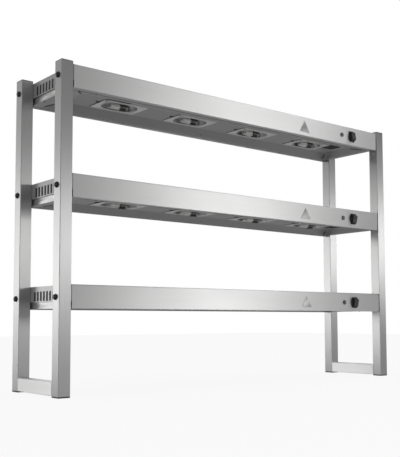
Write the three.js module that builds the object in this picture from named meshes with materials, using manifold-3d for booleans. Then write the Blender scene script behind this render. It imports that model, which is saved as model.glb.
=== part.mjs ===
// Heated food gantry: three stainless shelves with heat lamps underneath, between two tube end frames.
// Millimetres, +Z up, origin on the resting surface midway between the four feet, front towards -Y.
import * as THREE from "three";
import { mergeVertices } from "three/addons/utils/BufferGeometryUtils.js";
import Module from "manifold-3d";

const wasm = await Module();
wasm.setup();

// Driving sizes
const overallLength = 1500;
const overallDepth = 300;
const overallHeight = 1000;
const tubeSide = 40;
const tubeWall = 1.5;
const tubeCornerRadius = 3;
const shelfNames = ["bottom", "middle", "top"];
const shelfPitch = 331;
const topShelfDrop = 7;
const casingHeight = 72;
const casingRecess = 2;
const sheet = 1.2;
const seatGap = 0.3;
const cutOverrun = 3;
const arcSteps = 1;

// Foot caps and top caps: moulded plugs with a flange that covers the tube end
const footFlange = 4;
const topFlange = 2;
const plugDepth = 16;
const plugWall = 2;

// Shelf casing: folded top with front and rear fascias and a narrow return along the bottom
const casingEndGap = 3.5;
const casingFoldRadius = 5;
const casingFoldSteps = 2;
const casingReturn = 16;

// End panels: slotted webs with flanges, and welded studs that hold the shelf to its posts
const endPanelHeight = 50;
const endFlange = 14;
const slotCount = 9;
const slotPitch = 20;
const slotWidth = 6;
const slotHeight = 30.5;
const slotDrop = 31;
const slotEndSteps = 2;
const studDrop = 38;
const studRadius = 4;
const studClearance = 0.4;
const nutRadius = 7.5;
const nutHeight = 8;
const nutCollar = 1.6;
const studSides = 8;

// Reflector tray: the underside, with flat lips, four mitred slopes and a flat pan that carries the lamps
const lipWidth = 30;
const endSlopeRun = 57;
const panMargin = 9;
const panRise = 15;

// Lamp units: bezel, pressed dish and lampholder, with a tubular heat lamp lying along the shelf
const lampCount = 4;
const bezelLength = 168;
const bezelWidth = 104;
const bezelThickness = 1.2;
const apertureLength = 130;
const apertureWidth = 78;
const dishDepth = 42;
const dishInset = 19;
const dishWall = 1;
const dishClearance = 1.5;
const apertureSteps = 5;
const dishSteps = 3;
const bulbRadius = 10.5;
const bulbTip = 30;
const bulbShoulder = 6;
const bulbNeck = 10.5;
const capRadius = 7.2;
const capEnd = 24;
const bulbLift = 0.5;
const bulbOffset = 9.5;
const capClearance = 0.3;
const holderStart = 11;
const holderEnd = 39;
const holderRadius = 11.5;
const bracketStart = 30;
const bracketThickness = 4;
const bracketWidth = 18;
const lampSides = 10;
const domeSteps = 3;

// Rocker switches: bezel and body in one moulding, with the rocker on trunnions in its side walls
const switchFromEnd = 193.5;
const controlDrop = 37.5;
const switchBezelWidth = 27;
const switchBezelHeight = 42;
const switchBezelThickness = 2.5;
const switchBezelCorner = 2;
const switchBodyWidth = 25.4;
const switchBodyHeight = 40.6;
const switchBodyDepth = 22;
const switchWall = 1;
const cutoutClearance = 0.4;
const rockerClearance = 0.3;
const rockerPivotDepth = 2;
const rockerReach = 14.5;
const rockerBack = 5;
const rockerDish = 0.6;
const rockerTilt = 12;
const rockerArcSteps = 5;
const rockerFaceSteps = 4;
const trunnionRadius = 1.8;
const trunnionLength = 0.7;
const trunnionSides = 10;
const terminalThickness = 0.8;
const terminalWidth = 6.3;
const terminalLength = 8;
const terminalSpacing = 12;

// Indicator lamps: a lens in a turned bezel, held by a nut behind the fascia
const indicatorToSwitch = 58.5;
const indicatorBezelRadius = 8.5;
const indicatorBezelThickness = 2;
const indicatorLensRadius = 6;
const indicatorLensHeight = 3;
const indicatorBodyRadius = 6;
const indicatorBodyDepth = 18;
const indicatorNutRadius = 8;
const indicatorNutThickness = 3;
const indicatorClearance = 0.4;
const indicatorSides = 10;

// Cable gland: in the rear fascia of the bottom shelf, with its locknut inside
const glandFromEnd = 150;
const glandFlangeRadius = 13;
const glandFlangeThickness = 5;
const glandDomeRadius = 10.5;
const glandDomeHeight = 12;
const glandMouthRadius = 7;
const glandBoreRadius = 4;
const glandThreadRadius = 9.8;
const glandThreadLength = 12;
const glandNutThickness = 4;
const glandClearance = 0.4;
const glandSides = 10;

// Places that follow from the driving sizes
const halfLength = overallLength / 2;
const halfDepth = overallDepth / 2;
const postX = halfLength - tubeSide / 2;
const postY = halfDepth - tubeSide / 2;
const innerX = halfLength - tubeSide;
const fasciaY = halfDepth - casingRecess;
const casingHalf = innerX - casingEndGap;
const fasciaInnerY = fasciaY - sheet;
const topShelfZ = overallHeight - topShelfDrop;
const shelfTops = shelfNames.map((name, i) => topShelfZ - (shelfNames.length - 1 - i) * shelfPitch);
const lipZ = -casingHeight + sheet + seatGap;
const panZ = -casingHeight + panRise;
const lampPitch = overallLength / (lampCount + 1);
const switchX = halfLength - switchFromEnd;
const indicatorX = switchX - indicatorToSwitch;
const rockerRadius = switchBodyHeight / 2 - switchWall - rockerClearance;
const rockerWidth = switchBodyWidth - 2 * (switchWall + rockerClearance);

// Materials
const steel = new THREE.MeshStandardMaterial({ color: 0xb9bab9, roughness: 0.36, metalness: 1 });
const tubeSteel = new THREE.MeshStandardMaterial({ color: 0xaeafae, roughness: 0.4, metalness: 1 });
const reflectorSteel = new THREE.MeshStandardMaterial({ color: 0xc9c9c8, roughness: 0.22, metalness: 1 });
const trayGrey = new THREE.MeshStandardMaterial({ color: 0x8b8b8a, roughness: 0.42, metalness: 0.9 });
const blackPlastic = new THREE.MeshStandardMaterial({ color: 0x2b2829, roughness: 0.5, metalness: 0 });
const rockerPlastic = new THREE.MeshStandardMaterial({ color: 0x242122, roughness: 0.35, metalness: 0 });
const lampGlass = new THREE.MeshStandardMaterial({ color: 0xdcdcd8, roughness: 0.25, metalness: 0 });
const indicatorGrey = new THREE.MeshStandardMaterial({ color: 0x5b5b5b, roughness: 0.3, metalness: 0.4 });

// A closed three.js geometry as a solid that can be joined and cut
function solid(geometry) {
  const bare = geometry.index ? geometry.toNonIndexed() : geometry.clone();
  bare.deleteAttribute("normal");
  bare.deleteAttribute("uv");
  const merged = mergeVertices(bare);
  const mesh = new wasm.Mesh({
    numProp: 3,
    vertProperties: new Float32Array(merged.attributes.position.array),
    triVerts: new Uint32Array(merged.index.array),
  });
  return new wasm.Manifold(mesh);
}

// A solid back as a flat-shaded three.js geometry
function geometryOf(body) {
  const mesh = body.getMesh();
  const geometry = new THREE.BufferGeometry();
  geometry.setAttribute("position", new THREE.BufferAttribute(new Float32Array(mesh.vertProperties), 3));
  geometry.setIndex(new THREE.BufferAttribute(new Uint32Array(mesh.triVerts), 1));
  const flat = geometry.toNonIndexed();
  flat.computeVertexNormals();
  return flat;
}

function named(name, geometry, material) {
  const mesh = new THREE.Mesh(geometry, material);
  mesh.name = name;
  return mesh;
}

// A block between two corners
function block(low, high) {
  const size = high.map((value, i) => value - low[i]);
  const centre = high.map((value, i) => (value + low[i]) / 2);
  return solid(new THREE.BoxGeometry(...size).translate(...centre));
}

// A rectangle with round corners, centred, as a shape
function roundedRectangle(width, height, radius) {
  const x = width / 2 - radius;
  const y = height / 2 - radius;
  const shape = new THREE.Shape();
  shape.absarc(x, y, radius, 0, Math.PI / 2);
  shape.absarc(-x, y, radius, Math.PI / 2, Math.PI);
  shape.absarc(-x, -y, radius, Math.PI, 1.5 * Math.PI);
  shape.absarc(x, -y, radius, 1.5 * Math.PI, 2 * Math.PI);
  return shape;
}

// A shape in X and Y pushed up Z from the height low to the height high
function prism(shape, low, high, curveSegments = arcSteps) {
  const options = { depth: high - low, bevelEnabled: false, curveSegments };
  return solid(new THREE.ExtrudeGeometry(shape, options).translate(0, 0, low));
}

// A profile of [radius, height] points turned about Z, from axis to axis or closed on itself
function turned(profile, sides) {
  const points = profile.map(([radius, height]) => new THREE.Vector2(radius, height));
  return solid(new THREE.LatheGeometry(points, sides).rotateX(Math.PI / 2));
}

function cylinder(radius, low, high, sides) {
  return turned([[0, low], [radius, low], [radius, high], [0, high]], sides);
}

// The same solid with its Z axis turned to +X, or to -Y
function alongX(body) {
  return solid(geometryOf(body).rotateY(Math.PI / 2));
}

function alongFront(body) {
  return solid(geometryOf(body).rotateX(Math.PI / 2));
}

// A closed solid through rings of equally many [x, y, z] points, from the lowest ring to the highest
function loft(rings) {
  const count = rings[0].length;
  const triangles = [];
  rings.slice(1).forEach((upper, i) => {
    const lower = rings[i];
    for (let j = 0; j < count; j += 1) {
      const k = (j + 1) % count;
      triangles.push(lower[j], lower[k], upper[k], lower[j], upper[k], upper[j]);
    }
  });
  const outline = rings[0].map(([x, y]) => new THREE.Vector2(x, y));
  const last = rings[rings.length - 1];
  THREE.ShapeUtils.triangulateShape(outline, []).forEach(([a, b, c]) => {
    triangles.push(rings[0][c], rings[0][b], rings[0][a], last[a], last[b], last[c]);
  });
  const geometry = new THREE.BufferGeometry();
  geometry.setAttribute("position", new THREE.Float32BufferAttribute(triangles.flat(), 3));
  return solid(geometry);
}

// The points of a racetrack: a straight middle with two round ends of so many steps
function racetrack(halfLong, halfWide, z, steps) {
  const straight = halfLong - halfWide;
  const points = [];
  [[straight, -Math.PI / 2], [-straight, Math.PI / 2]].forEach(([centre, start]) => {
    for (let i = 0; i <= steps; i += 1) {
      const angle = start + (i / steps) * Math.PI;
      points.push([centre + halfWide * Math.cos(angle), halfWide * Math.sin(angle), z]);
    }
  });
  return points;
}

function rectangleRing(halfX, halfY, z) {
  return [[halfX, -halfY, z], [halfX, halfY, z], [-halfX, halfY, z], [-halfX, -halfY, z]];
}

// A square tube along Z between two heights
function squareTube(low, high) {
  const bore = tubeSide - 2 * tubeWall;
  const outside = roundedRectangle(tubeSide, tubeSide, tubeCornerRadius);
  const inside = roundedRectangle(bore, bore, tubeCornerRadius - tubeWall);
  return prism(outside, low, high).subtract(prism(inside, low - cutOverrun, high + cutOverrun));
}

// Posts, each drilled through both side walls for the stud of every shelf
function post() {
  const drill = alongX(cylinder(studRadius + studClearance, -tubeSide, tubeSide, studSides));
  const tube = squareTube(footFlange + seatGap, overallHeight - topFlange - seatGap);
  return shelfTops.reduce((body, top) => body.subtract(drill.translate([0, 0, top - studDrop])), tube);
}

// Foot rails, butted between the front and rear posts
function footRail() {
  const half = halfDepth - tubeSide - seatGap;
  const tube = geometryOf(squareTube(-half, half)).rotateX(Math.PI / 2);
  return tube.translate(0, 0, footFlange + seatGap + tubeSide / 2);
}

// A flange over the tube end with a hollow plug that stands inside the tube
function tubePlug(flange) {
  const plugSide = tubeSide - 2 * tubeWall - 2 * seatGap;
  const well = plugSide - 2 * plugWall;
  const radius = tubeCornerRadius - tubeWall;
  const flangeBody = prism(roundedRectangle(tubeSide, tubeSide, tubeCornerRadius), 0, flange);
  const plug = prism(roundedRectangle(plugSide, plugSide, radius), flange / 2, flange + plugDepth);
  const open = flange + plugDepth + cutOverrun;
  const hollow = block([-well / 2, -well / 2, flange], [well / 2, well / 2, open]);
  return plug.subtract(hollow).add(flangeBody);
}

// The two end frames: posts, foot rails, foot caps and top caps
function endFrames() {
  const frame = new THREE.Group();
  const postGeometry = geometryOf(post());
  const railGeometry = footRail();
  const footGeometry = geometryOf(tubePlug(footFlange));
  const topGeometry = geometryOf(tubePlug(topFlange));
  [["left", -1], ["right", 1]].forEach(([side, x]) => {
    [["front", -1], ["rear", 1]].forEach(([end, y]) => {
      const corner = new THREE.Group();
      corner.position.set(x * postX, y * postY, 0);
      corner.add(named(`${side}_${end}_post`, postGeometry, tubeSteel));
      corner.add(named(`${side}_${end}_foot_cap`, footGeometry, blackPlastic));
      const topCap = named(`${side}_${end}_top_cap`, topGeometry, blackPlastic);
      topCap.position.z = overallHeight;
      topCap.rotation.x = Math.PI;
      corner.add(topCap);
      frame.add(corner);
    });
    const rail = named(`${side}_foot_rail`, railGeometry, tubeSteel);
    rail.position.x = x * postX;
    frame.add(rail);
  });
  return frame;
}

// The folded section of a casing: X of the shape is the depth, Y of the shape is the height
function casingSection() {
  const inner = casingFoldRadius - sheet;
  const foldY = fasciaY - casingFoldRadius;
  const returnY = fasciaY - casingReturn;
  const section = new THREE.Shape();
  section.moveTo(returnY, -casingHeight);
  section.lineTo(fasciaY, -casingHeight);
  section.absarc(foldY, -casingFoldRadius, casingFoldRadius, 0, Math.PI / 2);
  section.absarc(-foldY, -casingFoldRadius, casingFoldRadius, Math.PI / 2, Math.PI);
  section.lineTo(-fasciaY, -casingHeight);
  section.lineTo(-returnY, -casingHeight);
  section.lineTo(-returnY, -casingHeight + sheet);
  section.lineTo(-fasciaInnerY, -casingHeight + sheet);
  section.absarc(-foldY, -casingFoldRadius, inner, Math.PI, Math.PI / 2, true);
  section.absarc(foldY, -casingFoldRadius, inner, Math.PI / 2, 0, true);
  section.lineTo(fasciaInnerY, -casingHeight + sheet);
  section.lineTo(returnY, -casingHeight + sheet);
  return section;
}

// A casing with the holes for its switch, its indicator and, where asked, its cable gland
function casing(hasGland) {
  const options = { depth: 2 * casingHalf, bevelEnabled: false, curveSegments: casingFoldSteps };
  const folded = new THREE.ExtrudeGeometry(casingSection(), options);
  folded.translate(0, 0, -casingHalf).rotateX(Math.PI / 2).rotateZ(Math.PI / 2);
  const halfWidth = switchBodyWidth / 2 + cutoutClearance;
  const halfTall = switchBodyHeight / 2 + cutoutClearance;
  const switchHole = block(
    [switchX - halfWidth, -fasciaY - cutOverrun, -controlDrop - halfTall],
    [switchX + halfWidth, -fasciaInnerY + cutOverrun, -controlDrop + halfTall],
  );
  const drillStart = fasciaInnerY - cutOverrun;
  const drillEnd = fasciaY + cutOverrun;
  const drillRadius = indicatorBodyRadius + indicatorClearance;
  const drill = alongFront(cylinder(drillRadius, drillStart, drillEnd, indicatorSides));
  const indicatorHole = drill.translate([indicatorX, 0, -controlDrop]);
  const body = solid(folded).subtract(switchHole).subtract(indicatorHole);
  if (!hasGland) return body;
  const glandHole = glandThreadRadius + glandClearance;
  const glandDrill = alongFront(cylinder(glandHole, -drillEnd, -drillStart, glandSides));
  return body.subtract(glandDrill.translate([halfLength - glandFromEnd, 0, -controlDrop]));
}

// The black dome nut on the outer end of a stud, turned about Z with its seat at zero
function domeNut() {
  const profile = [[0, 0], [nutRadius, 0]];
  for (let i = 0; i < domeSteps; i += 1) {
    const angle = (i / domeSteps) * (Math.PI / 2);
    const height = nutCollar + (nutHeight - nutCollar) * Math.sin(angle);
    profile.push([nutRadius * Math.cos(angle), height]);
  }
  profile.push([0, nutHeight]);
  return turned(profile, studSides);
}

// An end panel's outline seen from its end: height down the shape's X, depth along its Y, round at the top
function archOutline(halfWide, top, bottom, radius) {
  const shape = new THREE.Shape();
  shape.moveTo(-bottom, -halfWide);
  shape.lineTo(-bottom, halfWide);
  shape.absarc(radius - top, halfWide - radius, radius, Math.PI / 2, Math.PI);
  shape.absarc(radius - top, radius - halfWide, radius, Math.PI, 1.5 * Math.PI);
  return shape;
}

// The right end panel: a slotted web, flanges turned into the casing, and two studs with dome nuts
function endPanel() {
  const outerX = innerX - seatGap;
  const halfWide = fasciaInnerY - seatGap;
  const top = -sheet - seatGap;
  const cornerRadius = casingFoldRadius - sheet - seatGap;
  const outside = archOutline(halfWide, top, -endPanelHeight, cornerRadius);
  const inside = archOutline(halfWide - sheet, top - sheet, -endPanelHeight + sheet, cornerRadius - sheet);
  const folded = alongX(prism(outside, outerX - endFlange, outerX, casingFoldSteps));
  const hollow = alongX(prism(inside, outerX - endFlange - cutOverrun, outerX - sheet, casingFoldSteps));
  const shell = folded.subtract(hollow);
  const slotRing = (x) => racetrack(slotHeight / 2, slotWidth / 2, x, slotEndSteps);
  const slot = alongX(loft([slotRing(outerX - endFlange / 2), slotRing(outerX + cutOverrun)]));
  let body = shell;
  for (let i = 0; i < slotCount; i += 1) {
    const y = (i - (slotCount - 1) / 2) * slotPitch;
    body = body.subtract(slot.translate([0, y, -slotDrop]));
  }
  const nutSeat = halfLength + seatGap;
  const stud = alongX(cylinder(studRadius, outerX - sheet / 2, nutSeat + nutCollar, studSides));
  const fastener = stud.add(alongX(domeNut()).translate([nutSeat, 0, 0]));
  const front = fastener.translate([0, -postY, -studDrop]);
  const rear = fastener.translate([0, postY, -studDrop]);
  return body.add(front).add(rear);
}

// The reflector tray: lips on the casing returns, slopes up to the pan, lamp holes and end upstands
function reflectorTray() {
  const halfX = casingHalf - seatGap;
  const halfY = fasciaInnerY - seatGap;
  const lipX = innerX - lipWidth;
  const lipY = fasciaY - lipWidth;
  const panX = lipX - endSlopeRun;
  const panY = bezelWidth / 2 + panMargin;
  const plate = block([-halfX, -halfY, lipZ], [halfX, halfY, lipZ + sheet]);
  const raised = loft([
    rectangleRing(lipX, lipY, lipZ),
    rectangleRing(lipX, lipY, lipZ + sheet),
    rectangleRing(panX, panY, panZ + sheet),
  ]);
  const hollow = loft([
    rectangleRing(lipX, lipY, lipZ - cutOverrun),
    rectangleRing(lipX, lipY, lipZ),
    rectangleRing(panX, panY, panZ),
  ]);
  const upstandTop = -endPanelHeight - seatGap;
  const upstand = block([halfX - sheet, -halfY, lipZ], [halfX, halfY, upstandTop]);
  const holeLong = apertureLength / 2 + dishWall + dishClearance;
  const holeWide = apertureWidth / 2 + dishWall + dishClearance;
  const hole = loft([
    racetrack(holeLong, holeWide, panZ - cutOverrun, apertureSteps),
    racetrack(holeLong, holeWide, panZ + sheet + cutOverrun, apertureSteps),
  ]);
  const folded = plate.add(raised).subtract(hollow).add(upstand).add(upstand.rotate([0, 0, 180]));
  return lampPlaces().reduce((body, x) => body.subtract(hole.translate([x, 0, 0])), folded);
}

function lampPlaces() {
  return Array.from({ length: lampCount }, (_, i) => (i - (lampCount - 1) / 2) * lampPitch);
}

// One wall of the pressed dish: rings that draw in by a quarter ellipse, grown outwards by a wall
function dishForm(grow, low, roof) {
  const rings = [racetrack(apertureLength / 2 + grow, apertureWidth / 2 + grow, low, apertureSteps)];
  for (let i = 0; i <= dishSteps; i += 1) {
    const angle = (i / dishSteps) * (Math.PI / 2);
    const inset = dishInset * (1 - Math.cos(angle)) - grow;
    const height = roof * Math.sin(angle);
    rings.push(racetrack(apertureLength / 2 - inset, apertureWidth / 2 - inset, height, apertureSteps));
  }
  return loft(rings);
}

// A lamp housing, with zero height at the underside of the pan: bezel, dish, bracket and lampholder
function lampHousing() {
  const bezelTop = -seatGap;
  const bezelLow = bezelTop - bezelThickness;
  const bezelX = bezelLength / 2;
  const bezelY = bezelWidth / 2;
  const plate = block([-bezelX, -bezelY, bezelLow], [bezelX, bezelY, bezelTop]);
  const outer = dishForm(dishWall, bezelLow, dishDepth + dishWall);
  const inner = dishForm(0, bezelLow - cutOverrun, dishDepth);
  const shell = plate.add(outer).subtract(inner);
  const bracketReach = dishDepth + dishWall / 2 - bulbLift;
  const bracket = block(
    [bracketStart, -bracketWidth / 2, 0],
    [bracketStart + bracketThickness, bracketWidth / 2, bracketReach],
  );
  const barrel = alongX(cylinder(holderRadius, holderStart, holderEnd, lampSides));
  const boreEnd = capEnd + capClearance;
  const bore = alongX(cylinder(capRadius + capClearance, holderStart - cutOverrun, boreEnd, lampSides));
  const holder = bracket.add(barrel).subtract(bore);
  return shell.add(holder.translate([-bulbOffset, 0, bulbLift]));
}

// The heat lamp: a round-ended glass tube, drawn in to the cap that sits in the holder
function heatLamp() {
  const domeStart = bulbRadius - bulbTip;
  const profile = [[0, -bulbTip]];
  for (let i = 1; i <= domeSteps; i += 1) {
    const angle = (i / domeSteps) * (Math.PI / 2);
    profile.push([bulbRadius * Math.sin(angle), domeStart - bulbRadius * Math.cos(angle)]);
  }
  const shoulderMiddle = (bulbShoulder + bulbNeck) / 2;
  profile.push([bulbRadius, bulbShoulder], [(bulbRadius + capRadius) / 2, shoulderMiddle]);
  profile.push([capRadius, bulbNeck], [capRadius, capEnd], [0, capEnd]);
  return alongX(turned(profile, lampSides)).translate([-bulbOffset, 0, bulbLift]);
}

// The side view of a rocker as [forward, height] points about its trunnions: round ends and a dished face
function rockerProfile() {
  const points = [];
  const faceAngle = Math.acos(rockerReach / rockerRadius);
  const backAngle = Math.PI - Math.acos(rockerBack / rockerRadius);
  for (let i = 0; i <= rockerArcSteps; i += 1) {
    const angle = -backAngle + (i / rockerArcSteps) * (backAngle - faceAngle);
    points.push([rockerRadius * Math.cos(angle), rockerRadius * Math.sin(angle)]);
  }
  const faceHalf = rockerRadius * Math.sin(faceAngle);
  for (let i = 1; i < rockerFaceSteps; i += 1) {
    const share = (2 * i) / rockerFaceSteps - 1;
    points.push([rockerReach - rockerDish * (1 - share * share), faceHalf * share]);
  }
  for (let i = 0; i <= rockerArcSteps; i += 1) {
    const angle = faceAngle + (i / rockerArcSteps) * (backAngle - faceAngle);
    points.push([rockerRadius * Math.cos(angle), rockerRadius * Math.sin(angle)]);
  }
  return points;
}

// A rocker about its trunnion axis, upright, with the face towards -Y
function rocker() {
  const outline = rockerProfile().map(([forward, height]) => new THREE.Vector2(forward, height));
  const options = { depth: rockerWidth, bevelEnabled: false };
  const body = new THREE.ExtrudeGeometry(new THREE.Shape(outline), options);
  body.translate(0, 0, -rockerWidth / 2).rotateX(Math.PI / 2).rotateZ(-Math.PI / 2);
  const reach = rockerWidth / 2 + trunnionLength;
  return solid(body).add(alongX(cylinder(trunnionRadius, -reach, reach, trunnionSides)));
}

// A switch housing, with its origin on the fascia face: bezel, body, rocker well and blade terminals
function switchHousing() {
  const bezelShape = roundedRectangle(switchBezelWidth, switchBezelHeight, switchBezelCorner);
  const bezel = alongFront(prism(bezelShape, seatGap, seatGap + switchBezelThickness));
  const halfWidth = switchBodyWidth / 2;
  const halfTall = switchBodyHeight / 2;
  const bezelFront = -seatGap - switchBezelThickness;
  const bezelMiddle = -seatGap - switchBezelThickness / 2;
  const moulding = block([-halfWidth, bezelMiddle, -halfTall], [halfWidth, switchBodyDepth, halfTall]);
  const wellRadius = rockerRadius + rockerClearance;
  const wellHalf = rockerWidth / 2 + rockerClearance;
  const swing = THREE.MathUtils.degToRad(rockerTilt);
  const backHalf = Math.sqrt(rockerRadius ** 2 - rockerBack ** 2);
  const backReach = rockerBack * Math.cos(swing) + backHalf * Math.sin(swing);
  const floor = rockerPivotDepth + backReach + rockerClearance;
  const pivot = [0, rockerPivotDepth, 0];
  const round = alongX(cylinder(wellRadius, -wellHalf, wellHalf, 4 * rockerArcSteps)).translate(pivot);
  const mouth = block(
    [-wellHalf, bezelFront - cutOverrun, -wellRadius],
    [wellHalf, rockerPivotDepth, wellRadius],
  );
  const reachBox = block([-wellHalf, -wellRadius, -wellRadius], [wellHalf, floor, wellRadius]);
  const holeRadius = trunnionRadius + rockerClearance;
  const trunnionHole = alongX(cylinder(holeRadius, -switchBodyWidth, switchBodyWidth, trunnionSides));
  let body = bezel.add(moulding).subtract(mouth.add(round).intersect(reachBox.add(mouth)));
  body = body.subtract(trunnionHole.translate(pivot));
  const blade = block(
    [-terminalWidth / 2, switchBodyDepth - switchWall, -terminalThickness / 2],
    [terminalWidth / 2, switchBodyDepth + terminalLength, terminalThickness / 2],
  );
  [-1, 1].forEach((x) => {
    [-1, 1].forEach((z) => {
      body = body.add(blade.translate([(x * terminalSpacing) / 2, 0, (z * terminalSpacing) / 2]));
    });
  });
  return body;
}

// An indicator about its own axis, front towards -Y, with its origin on the fascia face
function indicator() {
  const nutFront = -sheet - seatGap;
  const profile = [
    [0, -indicatorBodyDepth],
    [indicatorBodyRadius, -indicatorBodyDepth],
    [indicatorBodyRadius, nutFront - indicatorNutThickness],
    [indicatorNutRadius, nutFront - indicatorNutThickness],
    [indicatorNutRadius, nutFront],
    [indicatorBodyRadius, nutFront],
    [indicatorBodyRadius, seatGap],
    [indicatorBezelRadius, seatGap],
    [indicatorBezelRadius, seatGap + indicatorBezelThickness / 2],
  ];
  const lensLow = seatGap + indicatorBezelThickness;
  for (let i = 0; i < domeSteps; i += 1) {
    const angle = (i / domeSteps) * (Math.PI / 2);
    profile.push([indicatorLensRadius * Math.cos(angle), lensLow + indicatorLensHeight * Math.sin(angle)]);
  }
  profile.push([0, lensLow + indicatorLensHeight]);
  return alongFront(turned(profile, indicatorSides));
}

// The cable gland about its own axis, mouth towards +Y, with its origin on the rear fascia face
function cableGland() {
  const nutFront = -sheet - seatGap;
  const domeLow = seatGap + glandFlangeThickness;
  const domeHigh = domeLow + glandDomeHeight;
  const profile = [
    [glandBoreRadius, -glandThreadLength],
    [glandThreadRadius, -glandThreadLength],
    [glandThreadRadius, nutFront - glandNutThickness],
    [glandFlangeRadius, nutFront - glandNutThickness],
    [glandFlangeRadius, nutFront],
    [glandThreadRadius, nutFront],
    [glandThreadRadius, seatGap],
    [glandFlangeRadius, seatGap],
    [glandFlangeRadius, domeLow],
    [glandDomeRadius, domeLow],
    [glandDomeRadius, (domeLow + domeHigh) / 2],
    [glandMouthRadius, domeHigh],
    [glandBoreRadius, domeHigh],
    [glandBoreRadius, -glandThreadLength],
  ];
  return alongFront(turned(profile, glandSides)).rotate([0, 0, 180]);
}

// One shelf, with zero height at its top face
function shelf(name, index) {
  const hasGland = index === 0;
  const group = new THREE.Group();
  group.position.z = shelfTops[index];
  group.add(named(`${name}_shelf_casing`, geometryOf(casing(hasGland)), steel));
  const panelGeometry = geometryOf(endPanel());
  const rightPanel = named(`${name}_shelf_right_end_panel`, panelGeometry, steel);
  const leftPanel = named(`${name}_shelf_left_end_panel`, panelGeometry, steel);
  leftPanel.rotation.z = Math.PI;
  group.add(rightPanel, leftPanel);
  group.add(named(`${name}_shelf_reflector_tray`, geometryOf(reflectorTray()), trayGrey));
  const housingGeometry = geometryOf(lampHousing());
  const lampGeometry = geometryOf(heatLamp());
  lampPlaces().forEach((x, i) => {
    const unit = new THREE.Group();
    unit.position.set(x, 0, panZ);
    unit.add(named(`${name}_shelf_lamp_housing_${i + 1}`, housingGeometry, reflectorSteel));
    unit.add(named(`${name}_shelf_heat_lamp_${i + 1}`, lampGeometry, lampGlass));
    group.add(unit);
  });
  const controls = new THREE.Group();
  controls.position.set(switchX, -fasciaY, -controlDrop);
  controls.add(named(`${name}_shelf_switch_housing`, geometryOf(switchHousing()), blackPlastic));
  const rockerMesh = named(`${name}_shelf_switch_rocker`, geometryOf(rocker()), rockerPlastic);
  rockerMesh.position.y = rockerPivotDepth;
  const lean = name === "top" ? -rockerTilt : rockerTilt;
  rockerMesh.rotation.x = THREE.MathUtils.degToRad(lean);
  controls.add(rockerMesh);
  const indicatorMesh = named(`${name}_shelf_indicator`, geometryOf(indicator()), indicatorGrey);
  indicatorMesh.position.x = -indicatorToSwitch;
  controls.add(indicatorMesh);
  group.add(controls);
  if (hasGland) {
    const gland = named("cable_gland", geometryOf(cableGland()), blackPlastic);
    gland.position.set(halfLength - glandFromEnd, fasciaY, -controlDrop);
    group.add(gland);
  }
  return group;
}

const gantry = new THREE.Group();
gantry.add(endFrames());
shelfNames.forEach((name, index) => gantry.add(shelf(name, index)));

export default gantry;
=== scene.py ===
"""Heated food gantry: three stainless shelves with heat lamps underneath, between two end frames of tube.

Metres, +Z up, the front towards -Y, the origin on the floor midway between the four feet.
The sections below follow the gantry as it is put together, from the feet upwards.
"""

import math

import bmesh
import bpy
import numpy as np
from mathutils import Matrix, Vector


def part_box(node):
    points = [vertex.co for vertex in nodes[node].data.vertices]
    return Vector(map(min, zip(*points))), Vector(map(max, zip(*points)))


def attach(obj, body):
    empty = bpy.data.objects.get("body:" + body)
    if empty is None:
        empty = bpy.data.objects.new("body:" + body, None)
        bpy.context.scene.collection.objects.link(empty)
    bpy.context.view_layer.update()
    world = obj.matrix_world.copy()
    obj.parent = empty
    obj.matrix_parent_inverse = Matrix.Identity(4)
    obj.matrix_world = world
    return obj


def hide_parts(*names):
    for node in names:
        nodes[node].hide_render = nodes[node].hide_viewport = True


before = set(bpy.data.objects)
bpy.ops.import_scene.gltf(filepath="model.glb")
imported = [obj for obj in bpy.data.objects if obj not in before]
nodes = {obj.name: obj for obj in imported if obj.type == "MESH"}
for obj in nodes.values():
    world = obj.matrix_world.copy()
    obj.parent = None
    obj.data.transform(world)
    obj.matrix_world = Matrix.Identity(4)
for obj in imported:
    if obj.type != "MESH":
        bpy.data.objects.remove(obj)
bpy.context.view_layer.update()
scene = bpy.context.scene
scene.view_settings.view_transform = "Standard"
MM = 0.001


# Camera
# A long lens low in front of the left end, looking slightly up, so that the undersides of the shelves show.
# The lens is shifted up a little, which keeps the posts upright in the picture.
camera_place = (-1.856664, -2.176968, 0.220849)
camera_yaw = 0.677567
camera_pitch = 0.073292
camera_roll = -0.002214
lens_in_picture_heights = 1.716275
picture_shift = 0.0772
camera_data = bpy.data.cameras.new("picture_camera")
camera_data.sensor_width = 36
camera_data.lens = camera_data.sensor_width * lens_in_picture_heights
camera_data.shift_y = picture_shift
camera_data.clip_start = 0.05
camera_data.clip_end = 60
camera = bpy.data.objects.new("picture_camera", camera_data)
scene.collection.objects.link(camera)
turn = Matrix.Rotation(-camera_yaw, 4, "Z") @ Matrix.Rotation(math.pi / 2 + camera_pitch, 4, "X")
camera.matrix_world = Matrix.Translation(camera_place) @ turn @ Matrix.Rotation(camera_roll, 4, "Z")
scene.camera = camera


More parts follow.
